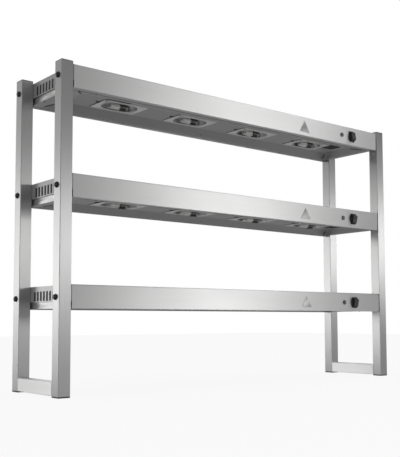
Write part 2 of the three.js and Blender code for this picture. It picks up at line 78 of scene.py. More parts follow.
# Floor
# A plain white studio floor, far wider than the gantry. To the camera it is nearly as white as the air
# round it, and it keeps the soft shadow of the feet.
def skin_mesh(rings, wrap=False, capped=False, open_cells=()):
    """A mesh through rings of points, given as rings, points and xyz.

    Each cell between two rings is one four-sided face, apart from the open cells, named by ring and point.
    With wrap, a ring's last point meets its first. With capped, a flat face closes the first and last rings.
    """
    count, around = rings.shape[:2]
    ring, point = np.meshgrid(np.arange(count - 1), np.arange(around if wrap else around - 1), indexing="ij")
    kept = np.ones(ring.shape, bool)
    for cell in open_cells:
        kept[cell] = False
    ring, point = ring[kept], point[kept]
    ahead = (point + 1) % around
    corners = [(ring, point), (ring, ahead), (ring + 1, ahead), (ring + 1, point)]
    faces = np.stack([r * around + p for r, p in corners], axis=1).tolist()
    if capped:
        first = np.arange(around)
        faces += [first[::-1].tolist(), (first + (count - 1) * around).tolist()]
    mesh = bpy.data.meshes.new("skin")
    mesh.from_pydata(rings.reshape(-1, 3).tolist(), [], faces)
    return mesh


def put(name, mesh, material):
    """A mesh as an object of its own at the origin, in one material. The mesh takes the same name."""
    mesh.name = name
    placed = bpy.data.objects.new(name, mesh)
    scene.collection.objects.link(placed)
    mesh.materials.append(material)
    return placed


def new_material(name):
    """A node material with a Principled shader in it, and the two as a pair."""
    material = bpy.data.materials.new(name)
    material.use_nodes = True
    return material, material.node_tree.nodes["Principled BSDF"]


def add(tree, kind, **values):
    """A node of that kind, with its settings from the keywords."""
    node = tree.nodes.new(kind)
    for key, value in values.items():
        setattr(node, key, value)
    return node


def joined(tree, operation, first, second):
    """Two values put through one step of arithmetic."""
    node = add(tree, "ShaderNodeMath", operation=operation)
    for place, value in enumerate((first, second)):
        if isinstance(value, (int, float)):
            node.inputs[place].default_value = value
        else:
            tree.links.new(value, node.inputs[place])
    return node.outputs[0]


floor_reach = 9.0
floor_steps = 13
floor_white = 0.92
floor_own_glow = 0.9
floor_line = np.linspace(-floor_reach, floor_reach, floor_steps)
floor_x, floor_y = np.meshgrid(floor_line, floor_line)
floor_points = np.stack([floor_x, floor_y, np.zeros_like(floor_x)], axis=2)
floor_material, floor_shader = new_material("floor_white")
floor_shader.inputs["Base Color"].default_value = (floor_white, floor_white, floor_white, 1)
floor_shader.inputs["Roughness"].default_value = 0.9
floor_shader.inputs["Specular IOR Level"].default_value = 0.0
floor_tree = floor_material.node_tree
floor_glow = add(floor_tree, "ShaderNodeEmission")
floor_glow.inputs["Strength"].default_value = 1.0
floor_rays = add(floor_tree, "ShaderNodeLightPath")
floor_share = joined(floor_tree, "MULTIPLY", floor_rays.outputs["Is Camera Ray"], floor_own_glow)
floor_mix = add(floor_tree, "ShaderNodeMixShader")
floor_tree.links.new(floor_share, floor_mix.inputs[0])
floor_tree.links.new(floor_shader.outputs[0], floor_mix.inputs[1])
floor_tree.links.new(floor_glow.outputs[0], floor_mix.inputs[2])
floor_tree.links.new(floor_mix.outputs[0], floor_tree.nodes["Material Output"].inputs["Surface"])
floor = put("studio_floor", skin_mesh(floor_points), floor_material)
floor.visible_glossy = False


# Studio air
# White to the camera, and the metal mirrors that white too where it stands behind the gantry. Elsewhere it
# mirrors a dim room with broad soft glows: overhead, to both sides of the front, and fainter ones behind.
world = bpy.data.worlds.new("studio_air")
world.use_nodes = True
scene.world = world
air = world.node_tree
air_white = air.nodes["Background"]
air_white.inputs["Color"].default_value = (1, 1, 1, 1)
air_white.inputs["Strength"].default_value = 1.0
air_room = add(air, "ShaderNodeBackground")
air_room.inputs["Color"].default_value = (1, 1, 1, 1)
air_place = add(air, "ShaderNodeTexCoord")


def glow(azimuth, elevation, strength, focus=6.0):
    """A soft glow in the room's air: strength * (cosine of the angle to its middle) ** focus.

    The azimuth is counted in degrees from the front, -Y, towards the right.
    """
    turn, rise = math.radians(azimuth), math.radians(elevation)
    facing = add(air, "ShaderNodeVectorMath", operation="DOT_PRODUCT")
    air.links.new(air_place.outputs["Generated"], facing.inputs[0])
    facing.inputs[1].default_value = (
        math.cos(rise) * math.sin(turn), -math.cos(rise) * math.cos(turn), math.sin(rise),
    )
    towards = joined(air, "MAXIMUM", facing.outputs["Value"], 0.0)
    return joined(air, "MULTIPLY", joined(air, "POWER", towards, focus), strength)


room_level = 0.14
room_glows = ((45, -25, 0.75), (135, -15, 0.18), (225, 20, 0.4), (325, -5, 0.8))
air_level = joined(air, "ADD", glow(0, 90, 0.8, focus=4.0), room_level)
for azimuth, elevation, strength in room_glows:
    air_level = joined(air, "ADD", air_level, glow(azimuth, elevation, strength))
air_rays = add(air, "ShaderNodeLightPath")
air_behind = glow(180, 15, 1.0)
air_mirrored = joined(air, "MULTIPLY", air_rays.outputs["Is Glossy Ray"], air_behind)
air_seen = joined(air, "MAXIMUM", air_rays.outputs["Is Camera Ray"], air_rays.outputs["Is Transmission Ray"])
air_share = joined(air, "MAXIMUM", air_seen, air_mirrored)
air_mix = add(air, "ShaderNodeMixShader")
air.links.new(air_level, air_room.inputs["Strength"])
air.links.new(air_share, air_mix.inputs[0])
air.links.new(air_room.outputs[0], air_mix.inputs[1])
air.links.new(air_white.outputs[0], air_mix.inputs[2])
air.links.new(air_mix.outputs[0], air.nodes["World Output"].inputs["Surface"])


# Lamps
# A softbox in front to the right, which gives the bright middle of every front face, a high one over it for
# the folded edges, and two behind to the left for the left faces of the posts. None shows to the camera.
def softbox(name, place, target, width, height, power):
    """A rectangular area lamp at a place, turned to face a target."""
    data = bpy.data.lights.new(name, "AREA")
    data.shape = "RECTANGLE"
    data.size = width
    data.size_y = height
    data.energy = power
    lamp = bpy.data.objects.new(name, data)
    scene.collection.objects.link(lamp)
    away = np.array(place, float) - np.array(target, float)
    yaw = math.atan2(away[0], -away[1])
    pitch = math.asin(away[2] / np.linalg.norm(away))
    aim = Matrix.Rotation(yaw, 4, "Z") @ Matrix.Rotation(math.pi / 2 - pitch, 4, "X")
    lamp.matrix_world = Matrix.Translation(place) @ aim
    lamp.visible_camera = False


softbox("front_softbox", (3.17, -4.3, 1.0), (-2.2, 0, 0.6), width=1.4, height=0.8, power=52)
softbox("left_softbox", (-7.0, 7.0, 1.3), (-0.7, 0, 0.6), width=3.6, height=2.0, power=96)
softbox("left_low_softbox", (-4.6, 3.4, 0.2), (-0.7, 0, 0.5), width=2.4, height=1.0, power=24)
softbox("high_softbox", (5.0, -3.4, 5.0), (0, 0, 0.7), width=1.6, height=0.8, power=40)


# Posts and foot rails
# Square stainless tube with rounded edges, ground along its length, with the foot rails welded between the
# posts. The ground lines scatter the light across themselves, which draws a lamp out into a broad band.
def spread(tree, level, at_low, at_high):
    """A noise's level, which mostly stays between 0.3 and 0.7, taken to another range in a straight line."""
    node = add(tree, "ShaderNodeMapRange")
    for key, value in (("From Min", 0.3), ("From Max", 0.7), ("To Min", at_low), ("To Max", at_high)):
        node.inputs[key].default_value = value
    tree.links.new(level, node.inputs["Value"])
    return node.outputs["Result"]


def noise(tree, place, scale, detail, roughness=0.5):
    """The level of a noise at a place."""
    texture = add(tree, "ShaderNodeTexNoise")
    for key, value in (("Scale", scale), ("Detail", detail), ("Roughness", roughness)):
        texture.inputs[key].default_value = value
    tree.links.new(place, texture.inputs["Vector"])
    return texture.outputs["Fac"]


def new_group(name, outputs):
    """A shader group that makes the named outputs from a Place: its tree, its input and its output node."""
    tree = bpy.data.node_groups.new(name, "ShaderNodeTree")
    tree.interface.new_socket("Place", in_out="INPUT", socket_type="NodeSocketVector")
    for output in outputs:
        tree.interface.new_socket(output, in_out="OUTPUT", socket_type="NodeSocketFloat")
    return tree, add(tree, "NodeGroupInput"), add(tree, "NodeGroupOutput")


def brushed_lines_group():
    """Lines of noise drawn out along X of the given place, at two widths, with slow smudges over them.

    Shade and Height go up and down from line to line, Smudge changes slowly over the face.
    """
    tree, start, end = new_group("brushed_lines", ("Shade", "Height", "Smudge"))
    layers = []
    for stretch, scale, detail in ((0.012, 420.0, 3.0), (0.02, 90.0, 2.0), (0.4, 5.0, 2.0)):
        drawn = add(tree, "ShaderNodeMapping")
        drawn.inputs["Scale"].default_value = (stretch, 1, 1)
        tree.links.new(start.outputs["Place"], drawn.inputs["Vector"])
        layers.append(noise(tree, drawn.outputs["Vector"], scale, detail, roughness=0.55))
    fine, broad, slow = layers
    shade = joined(tree, "MULTIPLY", joined(tree, "ADD", fine, broad), 0.5)
    for output, value in (("Shade", shade), ("Height", fine), ("Smudge", slow)):
        tree.links.new(value, end.inputs[output])
    return tree


brushed_lines = brushed_lines_group()


def tint(tree, shader, colour, strength):
    """Gives the shader a colour times a strength that changes over the face."""
    scaled = add(tree, "ShaderNodeVectorMath", operation="SCALE")
    scaled.inputs[0].default_value = colour
    tree.links.new(strength, scaled.inputs["Scale"])
    tree.links.new(scaled.outputs["Vector"], shader.inputs["Base Color"])


def emboss(tree, shader, height, strength, depth):
    """Gives the shader a relief of that depth, as a bump."""
    relief = add(tree, "ShaderNodeBump")
    relief.inputs["Strength"].default_value = strength
    relief.inputs["Distance"].default_value = depth
    tree.links.new(height, relief.inputs["Height"])
    tree.links.new(relief.outputs["Normal"], shader.inputs["Normal"])


def brushed_steel(name, grey, along, roughness, anisotropy, line_contrast=0.03, bump=0.02):
    """Steel of one grey with its lines along X, Y or Z, a little darker and duller in places."""
    smudge_contrast = 0.02
    roughness_change = 0.03
    line_depth = 0.4 * MM
    blue_share = 0.995
    material, shader = new_material(name)
    tree = material.node_tree
    shader.inputs["Metallic"].default_value = 1.0
    shader.inputs["Anisotropic"].default_value = anisotropy
    place = add(tree, "ShaderNodeTexCoord")
    turned_place = add(tree, "ShaderNodeMapping")
    quarter = math.pi / 2
    turns = {"X": (0, 0, 0), "Y": (0, 0, -quarter), "Z": (0, quarter, 0)}
    turned_place.inputs["Rotation"].default_value = turns[along]
    lines = add(tree, "ShaderNodeGroup", node_tree=brushed_lines)
    tree.links.new(place.outputs["Object"], turned_place.inputs["Vector"])
    tree.links.new(turned_place.outputs["Vector"], lines.inputs["Place"])
    smudge = lines.outputs["Smudge"]
    tone = spread(tree, lines.outputs["Shade"], -line_contrast, line_contrast)
    stain = spread(tree, smudge, 1 - smudge_contrast, 1 + smudge_contrast)
    tint(tree, shader, (grey, grey, grey * blue_share), joined(tree, "ADD", tone, stain))
    dullness = spread(tree, smudge, roughness - roughness_change, roughness + roughness_change)
    tree.links.new(dullness, shader.inputs["Roughness"])
    emboss(tree, shader, lines.outputs["Height"], bump, line_depth)
    grain_way = add(tree, "ShaderNodeTangent", direction_type="RADIAL", axis=along)
    tree.links.new(grain_way.outputs["Tangent"], shader.inputs["Tangent"])
    return material


def rounded_rings(half_long, half_wide, radius, height, corner_steps=6, hold=0.0):
    """Rounded rectangles stacked up Z, as rings, points and xyz, from lists of their sizes.

    A corner is a quarter circle about a centre that lies one radius in from both sides. With hold, one more
    point stands that far past each end of the quarter circle, which keeps the shading of the sides flat.
    """
    sizes = np.broadcast_arrays(*(np.atleast_1d(size) for size in (half_long, half_wide, radius, height)))
    half_long, half_wide, radius, height = (size[:, None].astype(float) for size in sizes)
    quarter = np.linspace(0, math.pi / 2, corner_steps + 1)
    past = np.concatenate([[-hold], np.zeros(corner_steps + 1), [hold]])
    start = np.repeat(np.arange(4) * math.pi / 2, past.size)
    angle = np.tile(np.concatenate([[0], quarter, [math.pi / 2]]), 4) + start
    slide = np.tile(past, 4)
    side_x = np.sign(np.cos(start + math.pi / 4))
    side_y = np.sign(np.sin(start + math.pi / 4))
    x = side_x * (half_long - radius) + radius * np.cos(angle) - slide * np.sin(angle)
    y = side_y * (half_wide - radius) + radius * np.sin(angle) + slide * np.cos(angle)
    return np.stack([x, y, np.broadcast_to(height, x.shape)], axis=2)


def finished(mesh, sharp=32, wall=0.0):
    """Gives an open sheet its wall, merges doubled points, turns the faces outwards and shades them smooth.

    Edges that turn by more than the sharp angle, in degrees, stay sharp.
    """
    work = bmesh.new()
    work.from_mesh(mesh)
    bmesh.ops.remove_doubles(work, verts=work.verts, dist=0.001 * MM)
    if wall:
        bmesh.ops.solidify(work, geom=work.faces[:], thickness=wall)
    bmesh.ops.recalc_face_normals(work, faces=work.faces)
    work.to_mesh(mesh)
    work.free()
    mesh.shade_smooth()
    mesh.set_sharp_from_angle(angle=math.radians(sharp))
    return mesh


def piece(name, mesh, material, body="root", stands_for=()):
    """Puts a mesh into the scene as a piece that moves with a body and what it stands for."""
    placed = put(name, mesh, material)
    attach(placed, body)
    if stands_for:
        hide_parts(*stands_for)


def box_of(node):
    """The lowest and the highest corner of a node of the model, as arrays."""
    low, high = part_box(node)
    return np.array(low), np.array(high)


def middle_of(node):
    """The middle of a node of the model."""
    low, high = box_of(node)
    return (low + high) / 2


tube_wall = 1.5 * MM
tube_edge = 1.8 * MM
edge_hold = 0.6 * MM
# The steel of the right posts is painted a little darker as shade, though it is the same steel as the left,
# and its lines scatter the light further.
post_steel = {
    "left": brushed_steel("left_post_steel", 0.42, "Z", 0.4, 0.68),
    "right": brushed_steel("right_post_steel_painted_shade", 0.38, "Z", 0.36, 0.82),
}
rail_steel = brushed_steel("rail_steel", 0.78, "Y", 0.48, 0.88)
sides = {"left": -1, "right": 1}
ends = {"front": -1, "rear": 1}
corners = [f"{side}_{end}" for side in sides for end in ends]


def square_tube(half, start, end):
    """A closed square tube up Z: round the outside, over the end, down the inside and back under."""
    sizes = half - np.array([0, 0, tube_wall, tube_wall, 0])
    radii = tube_edge - np.array([0, 0, tube_wall, tube_wall, 0])
    heights = np.array([start, end, end, start, start])
    return rounded_rings(sizes, sizes, radii, heights, hold=edge_hold)


for corner in corners:
    node = f"{corner}_post"
    low, high = box_of(node)
    rings = square_tube((high[0] - low[0]) / 2, low[2], high[2]) + middle_of(node) * [1, 1, 0]
    steel = post_steel[corner.split("_")[0]]
    piece(f"{node}_tube", finished(skin_mesh(rings, wrap=True)), steel, stands_for=[node])
for side in sides:
    node = f"{side}_foot_rail"
    low, high = box_of(node)
    rings = square_tube((high[0] - low[0]) / 2, low[1], high[1])[..., [0, 2, 1]]
    rings = rings + middle_of(node) * [1, 0, 1]
    piece(f"{node}_tube", finished(skin_mesh(rings, wrap=True)), rail_steel, stands_for=[node])


# Foot caps and top caps
# Moulded black plastic plugs pushed into the tube ends: a flange with a soft edge covers the end, and the
# plug behind it stands inside the tube.
def moulded_grain_group():
    """The fine leathery grain of a mould: small cells over soft lumps, and slow changes of shade."""
    tree, start, end = new_group("moulded_grain", ("Shade", "Height"))
    place = start.outputs["Place"]
    cells = add(tree, "ShaderNodeTexVoronoi")
    cells.inputs["Scale"].default_value = 1600.0
    tree.links.new(place, cells.inputs["Vector"])
    height = joined(tree, "ADD", cells.outputs["Distance"], noise(tree, place, 700.0, 3.0))
    tree.links.new(height, end.inputs["Height"])
    tree.links.new(noise(tree, place, 40.0, 3.0), end.inputs["Shade"])
    return tree


moulded_grain = moulded_grain_group()


def moulded_plastic(name, colour, roughness, bump, contrast=0.12):
    """Plastic of one colour with a moulded grain, a little paler and duller in places."""
    roughness_change = 0.04
    grain_depth = 0.1 * MM
    material, shader = new_material(name)
    tree = material.node_tree
    place = add(tree, "ShaderNodeTexCoord")
    grain = add(tree, "ShaderNodeGroup", node_tree=moulded_grain)
    tree.links.new(place.outputs["Object"], grain.inputs["Place"])
    shade = grain.outputs["Shade"]
    tint(tree, shader, colour, spread(tree, shade, 1 - contrast, 1 + contrast))
    dullness = spread(tree, shade, roughness - roughness_change, roughness + roughness_change)
    tree.links.new(dullness, shader.inputs["Roughness"])
    emboss(tree, shader, grain.outputs["Height"], bump, grain_depth)
    return material


def solid_through(rings, sharp=32):
    """A closed and finished mesh through rings of points, with a flat face over the first and the last."""
    return finished(skin_mesh(rings, wrap=True, capped=True), sharp=sharp)


cap_flanges = {"foot_cap": 4.0 * MM, "top_cap": 2.0 * MM}
cap_edge = 0.8 * MM
cap_play = 0.3 * MM
cap_black = moulded_plastic("cap_black", (0.05, 0.048, 0.048), 0.5, 0.5)
for corner in corners:
    for kind, flange in cap_flanges.items():
        node = f"{corner}_{kind}"
        low, high = box_of(node)
        half = (high[0] - low[0]) / 2
        plug = half - tube_wall - cap_play
        sizes = np.array([half - cap_edge, half - cap_edge / 3, half, half, plug, plug])
        depths = np.array([0, cap_edge / 3, cap_edge, flange, flange, high[2] - low[2]])
        heights = low[2] + depths if kind == "foot_cap" else high[2] - depths
        radii = np.array([tube_edge] * 4 + [tube_edge - tube_wall] * 2)
        rings = rounded_rings(sizes, sizes, radii, heights) + middle_of(node) * [1, 1, 0]
        mesh = solid_through(rings, sharp=50)
        piece(f"{node}_moulding", mesh, cap_black, stands_for=[node])


# Shelf casings
# One folded stainless sheet per shelf: a flat top with rounded front and rear edges, a fascia on both long
# sides and a narrow return along the bottom. The front one has holes for the switch and the indicator.
def folded_path(points, radii, steps=6, hold=0.0):
    """Points along a line with a round fold at each inner point, from its first point to its last.

    A fold is an arc that touches both sides. Its points turn evenly about the arc's centre from the one
    touching point to the other: centre + (sin((1 - s) a) * first + sin(s a) * last) / sin a, where a is the
    angle of the arc. One more point stands a hold past each end, which keeps the shading of the sides flat.
    """
    points = np.array(points, float)
    radii = np.array(radii, float)[:, None]
    fold = points[1:-1]
    back = points[:-2] - fold
    ahead = points[2:] - fold
    back /= np.linalg.norm(back, axis=1, keepdims=True)
    ahead /= np.linalg.norm(ahead, axis=1, keepdims=True)
    half = np.arccos((back * ahead).sum(axis=1, keepdims=True)) / 2
    middle = (back + ahead) / np.linalg.norm(back + ahead, axis=1, keepdims=True)
    centre = fold + middle * radii / np.sin(half)
    first = fold + back * radii / np.tan(half) - centre
    last = fold + ahead * radii / np.tan(half) - centre
    arc = (math.pi - 2 * half)[:, None]
    share = np.linspace(0, 1, steps + 1)[None, :, None]
    turned_arm = np.sin((1 - share) * arc) * first[:, None] + np.sin(share * arc) * last[:, None]
    bend = centre[:, None] + turned_arm / np.sin(arc)
    before = (centre + first + back * hold)[:, None]
    after = (centre + last + ahead * hold)[:, None]
    folds = np.concatenate([before, bend, after], axis=1).reshape(-1, 2)
    return np.concatenate([points[:1], folds, points[-1:]])


shelves = ("bottom", "middle", "top")
sheet = 1.2 * MM
casing_fold = 5.0 * MM
casing_bottom_fold = 1.8 * MM
casing_return = 16.0 * MM
switch_hole_half = np.array([13.1, 20.7]) * MM
indicator_hole_half = 6.0 * MM
casing_steel = brushed_steel("casing_steel", 0.58, "X", 0.5, 0.93, line_contrast=0.02)
for shelf in shelves:
    node = f"{shelf}_shelf_casing"
    low, high = box_of(node)
    switch_middle = middle_of(f"{shelf}_shelf_switch_housing")
    indicator_middle = middle_of(f"{shelf}_shelf_indicator")
    inner_edge = high[1] - casing_return
    outline = [
        (inner_edge, low[2]), (high[1], low[2]), (high[1], high[2]),
        (-high[1], high[2]), (-high[1], low[2]), (-inner_edge, low[2]),
    ]
    radii = [casing_bottom_fold, casing_fold, casing_fold, casing_bottom_fold]
    path = folded_path(outline, radii, hold=edge_hold)
    hole_heights = switch_middle[2] + np.array([
        switch_hole_half[1], indicator_hole_half, -indicator_hole_half, -switch_hole_half[1],
    ])
    # The front fascia comes before the last of the path's four folds, which have the same number of points.
    front_face = len(path) - 1 - (len(path) - 2) // 4
    marks = np.stack([np.full(4, -high[1]), hole_heights], axis=1)
    path = np.insert(path, front_face, marks, axis=0)
    stations = np.array([
        low[0],
        indicator_middle[0] - indicator_hole_half, indicator_middle[0] + indicator_hole_half,
        switch_middle[0] - switch_hole_half[0], switch_middle[0] + switch_hole_half[0],
        high[0],
    ])
    rings = np.empty((stations.size, len(path), 3))
    rings[..., 0] = stations[:, None]
    rings[..., 1:] = path
    # One cell is the indicator's hole, between the two middle marks, and three cells are the switch's.
    holes = [(1, front_face + 1), (3, front_face), (3, front_face + 1), (3, front_face + 2)]
    mesh = finished(skin_mesh(rings, open_cells=holes), wall=sheet)
    piece(f"{shelf}_shelf_folded_casing", mesh, casing_steel, stands_for=[node])


# End panels
# A slotted stainless panel closes each end of a casing, with its flanges turned into it. A thin dark strip
# over each of its slots is painted shade, where the open slot shows dark.
def dress(pattern, material):
    """Puts a material on every node of the model whose name ends with the pattern."""
    for name, node in nodes.items():
        if name.endswith(pattern):
            node.material_slots[0].material = material


def block(middle, half):
    """A closed block from its middle and its half sizes."""
    corner = np.array([(-1, -1, 0), (1, -1, 0), (1, 1, 0), (-1, 1, 0)])
    rise = np.array([[(0, 0, -1)], [(0, 0, 1)]])
    return solid_through(middle + (corner + rise) * half)


def repeated(mesh, places):
    """One mesh that holds a copy of another at each place."""
    work = bmesh.new()
    for place in places:
        start = len(work.verts)
        work.from_mesh(mesh)
        work.verts.ensure_lookup_table()
        bmesh.ops.translate(work, verts=work.verts[start:], vec=place)
    copies = bpy.data.meshes.new("copies")
    work.to_mesh(copies)
    work.free()
    return finished(copies)


def lip_place(shelf):
    """The middle of a shelf in X and Y, level with the underside of its tray's lips."""
    return np.array([0, 0, box_of(f"{shelf}_shelf_reflector_tray")[0][2]])


slot_count = 9
slot_pitch = 20.0 * MM
slot_shade_middle = np.array([709.4, 0, 39.5]) * MM
slot_shade_half = np.array([1.0, 4.8, 14.7]) * MM
slot_places = [(0, (number - (slot_count - 1) / 2) * slot_pitch, 0) for number in range(slot_count)]
panel_steel = brushed_steel("panel_steel", 0.44, "Z", 0.5, 0.8)
# One dark plastic for the painted shade in slots, mitres, seams and gaps, and for the dark patch on each
# pan.
painted_shade_and_patch_dark = moulded_plastic("painted_shade_and_patch_dark", (0.018, 0.017, 0.017), 0.7, 0.1)
dress("_end_panel", panel_steel)
for shelf in shelves:
    for side, outwards in sides.items():
        middle = slot_shade_middle * [outwards, 1, 1] + lip_place(shelf)
        # Painted shade: a dark strip over each slot.
        mesh = repeated(block(middle, slot_shade_half), slot_places)
        piece(f"{shelf}_shelf_{side}_slot_inserts", mesh, painted_shade_and_patch_dark)


# Dome nuts
# A stud welded to the end panel passes through each post at each shelf, and a dome nut of black plastic with
# a thin flange is screwed onto it from outside.
def turned(profile, place, axis, around=32):
    """A closed mesh from a profile of [radius, distance] points turned about an axis through a place.

    A point is place + distance * axis + radius * (cos of the turn * one side + sin of the turn * the other).
    """
    profile = np.array(profile, float)
    axis = np.array(axis, float)
    side = np.roll(axis, 1)
    other = np.cross(axis, side)
    turn = np.linspace(0, 2 * math.pi, around, endpoint=False)[None, :, None]
    radius, distance = profile[:, 0, None, None], profile[:, 1, None, None]
    rings = np.array(place) + distance * axis + radius * (np.cos(turn) * side + np.sin(turn) * other)
    return finished(skin_mesh(rings, wrap=True))


nut_radius = 8.8 * MM
nut_height = 8.1 * MM
nut_collar = 2.0 * MM
nut_flange = 9.5 * MM
nut_flange_height = 1.0 * MM
nut_drop = 38.0 * MM
nut_gap = 0.3 * MM
nut_black = moulded_plastic("nut_black", (0.016, 0.015, 0.015), 0.26, 0.12)
dome = np.linspace(0, math.pi / 2, 9)
nut_profile = np.concatenate([
    [[0, 0], [nut_flange, 0], [nut_flange, nut_flange_height], [nut_radius, nut_flange_height]],
    np.stack([nut_radius * np.cos(dome), nut_collar + (nut_height - nut_collar) * np.sin(dome)], axis=1),
])
for shelf in shelves:
    nut_z = box_of(f"{shelf}_shelf_casing")[1][2] - nut_drop
    for corner in corners:
        low, high = box_of(f"{corner}_post")
        outwards = sides[corner.split("_")[0]]
        seat = low[0] if outwards < 0 else high[0]
        place = (seat + outwards * nut_gap, middle_of(f"{corner}_post")[1], nut_z)
        mesh = turned(nut_profile, place, (outwards, 0, 0))
        piece(f"{shelf}_{corner}_dome_nut", mesh, nut_black)


# Reflector trays
# A pressed stainless tray closes each underside: flat lips, and four slopes folded up, with painted shade as
# dark strips in their open mitres. Its raised pan has a strip of painted shade along its front edge by the
# first lamp, and a thin dark patch past the last.
def strip_between(start, end, half_width, half_depth):
    """A closed strip of rectangular section from one place to another, lying flat to the ground."""
    along = (end - start) / np.linalg.norm(end - start)
    across = np.cross((0, 0, 1), along)
    across /= np.linalg.norm(across)
    down = np.cross(along, across)
    corner = np.array([(-1, -1), (1, -1), (1, 1), (-1, 1)])
    section = corner[:, :1] * half_width * across + corner[:, 1:] * half_depth * down
    return solid_through(np.stack([start + section, end + section]))


tray_steel = brushed_steel("tray_steel", 0.48, "X", 0.42, 0.5)
dress("_reflector_tray", tray_steel)
mitre_shade_ends = np.array([(638.0, 70.0, 9.4), (668.0, 109.0, 1.8)]) * MM
mitre_shade_half = np.array([2.2, 0.5]) * MM
pan_shade_ends = np.array([(-535.0, -56.5, 13.3), (-440.0, -56.5, 13.3)]) * MM
pan_shade_half = np.array([2.2, 0.4]) * MM
patch_place = np.array([566.0, -30.0, 0]) * MM
patch_halves = np.array([(30.0, 30.0, 29.4), (26.0, 26.0, 25.4)]) * MM
patch_corner = 3.0 * MM
patch_heights = np.array([13.7, 12.6, 12.0]) * MM
# A fine dark line of painted shade lies where the casing's hem ends on each lip, and one more in the front
# lip's fold.
shade_line_reach = 678.0 * MM
shade_line_places = np.array([(-131.0, 0.0), (-117.0, 0.2), (131.0, 0.0)]) * MM
shade_line_half = np.array([1.3, 0.3]) * MM
for shelf in shelves:
    on_lip = lip_place(shelf)
    for side, outwards in sides.items():
        for end, backwards in ends.items():
            # Painted shade: a dark strip in each open mitre.
            inner, outer = mitre_shade_ends * [outwards, backwards, 1] + on_lip
            mesh = strip_between(inner, outer, *mitre_shade_half)
            piece(f"{shelf}_shelf_mitre_{side}_{end}", mesh, painted_shade_and_patch_dark)
    # Painted shade: a dark strip along the front edge of the pan by the first lamp.
    mesh = strip_between(*(pan_shade_ends + on_lip), *pan_shade_half)
    piece(f"{shelf}_shelf_pan_painted_shade", mesh, painted_shade_and_patch_dark)
    # A thin dark rounded patch on the pan past the last lamp.
    rings = rounded_rings(*patch_halves, patch_corner, patch_heights) + patch_place + on_lip
    piece(f"{shelf}_shelf_dark_pan_patch", solid_through(rings), painted_shade_and_patch_dark)
    # Painted shade: fine dark lines along the lips.
    for number, (shade_line_y, shade_line_z) in enumerate(shade_line_places, 1):
        start = on_lip + [-shade_line_reach, shade_line_y, shade_line_z]
        mesh = strip_between(start, start * [-1, 1, 1], *shade_line_half)
        piece(f"{shelf}_shelf_lip_seam_{number}", mesh, painted_shade_and_patch_dark)


# Lamp housings
# Four lamp units under each shelf: a bezel of bright aluminium with a racetrack opening, rolled over at the
# rim and pressed up into a dish that throws the light down. A dark strip of painted shade lies along the
# left end of each bezel.
lamp_numbers = (1, 2, 3, 4)
lamps = [(shelf, number) for shelf in shelves for number in lamp_numbers]
bezel_drop = 1.2 * MM
bezel_gap = 0.3 * MM
bezel_edge = 0.3 * MM
bezel_corner = 2.0 * MM
rim_roll = 1.6 * MM
rim_bead = 0.7 * MM
opening_half = np.array([65.0, 39.0]) * MM
dish_depth = 42.0 * MM
dish_inset = 19.0 * MM
dish_wall = 1.0 * MM
dish_turn = np.linspace(0, math.pi / 2, 11)
dish_draw = dish_inset * (1 - np.cos(dish_turn))
dish_rise = dish_depth * np.sin(dish_turn)
dish_aluminium = brushed_steel("dish_aluminium", 0.78, "X", 0.3, 0.3, line_contrast=0.015, bump=0.01)
pan_rise = 13.5 * MM
bezel_shade_ends = np.array([(-85.6, -50.0, -0.2), (-85.6, 50.0, -0.2)]) * MM
bezel_shade_half = np.array([1.0, 0.4]) * MM


def lamp_housing_rings(bezel_half):
    """The closed skin of a lamp housing, with zero height at the top of its bezel.

    It runs from the dish's inner roof down its wall, over the rolled rim, out along the bezel's underside,
    round its edge and back up the outside. The dish draws in by a quarter ellipse: inset * (1 - cos t) at a
    height of depth * sin t. Rings at the bezel's edge have small corner radii, and the others round ends.
    """
    roll = np.linspace(0, math.pi / 2, 5)[1:]
    inside = opening_half[:, None] - dish_draw[::-1]
    rolled = opening_half[:, None] + rim_roll * (1 - np.cos(roll))
    flat = opening_half[:, None] + rim_roll + [[rim_bead, 2 * rim_bead]] * 2
    edge = bezel_half[:, None] - [[bezel_edge, 0, 0]] * 2
    outside = opening_half[:, None] + dish_wall - dish_draw
    longs, wides = np.concatenate([inside, rolled, flat, edge, outside], axis=1)
    low = -bezel_drop
    heights = np.concatenate([
        dish_rise[::-1],
        low - rim_bead * np.sin(roll),
        [low - rim_bead / 2, low],
        [low, low + bezel_edge, 0],
        dish_rise + dish_wall,
    ])
    radii = wides.copy()
    edge_start = wides.size - outside.shape[1] - edge.shape[1]
    radii[edge_start:edge_start + edge.shape[1]] = bezel_corner
    return rounded_rings(longs, wides, radii, heights, corner_steps=12)


def pan_places(shelf):
    """For each lamp housing of a shelf, the place at its middle on the underside of the tray's pan."""
    middles = [middle_of(f"{shelf}_shelf_lamp_housing_{number}") for number in lamp_numbers]
    return [middle * [1, 0, 0] + lip_place(shelf) + [0, 0, pan_rise] for middle in middles]


for shelf, number in lamps:
    node = f"{shelf}_shelf_lamp_housing_{number}"
    low, high = box_of(node)
    bezel_top = high[2] - dish_depth - dish_wall - bezel_gap
    rings = lamp_housing_rings((high[:2] - low[:2]) / 2)
    rings = rings + middle_of(node) * [1, 1, 0] + [0, 0, bezel_top]
    name = f"{shelf}_shelf_lamp_dish_{number}"
    piece(name, solid_through(rings, sharp=40), dish_aluminium, stands_for=[node])
# Painted shade: a dark strip along the left end of each bezel.
bezel_shade_strip = strip_between(*bezel_shade_ends, *bezel_shade_half)
for shelf in shelves:
    piece(f"{shelf}_shelf_bezel_painted_shade", repeated(bezel_shade_strip, pan_places(shelf)), painted_shade_and_patch_dark)


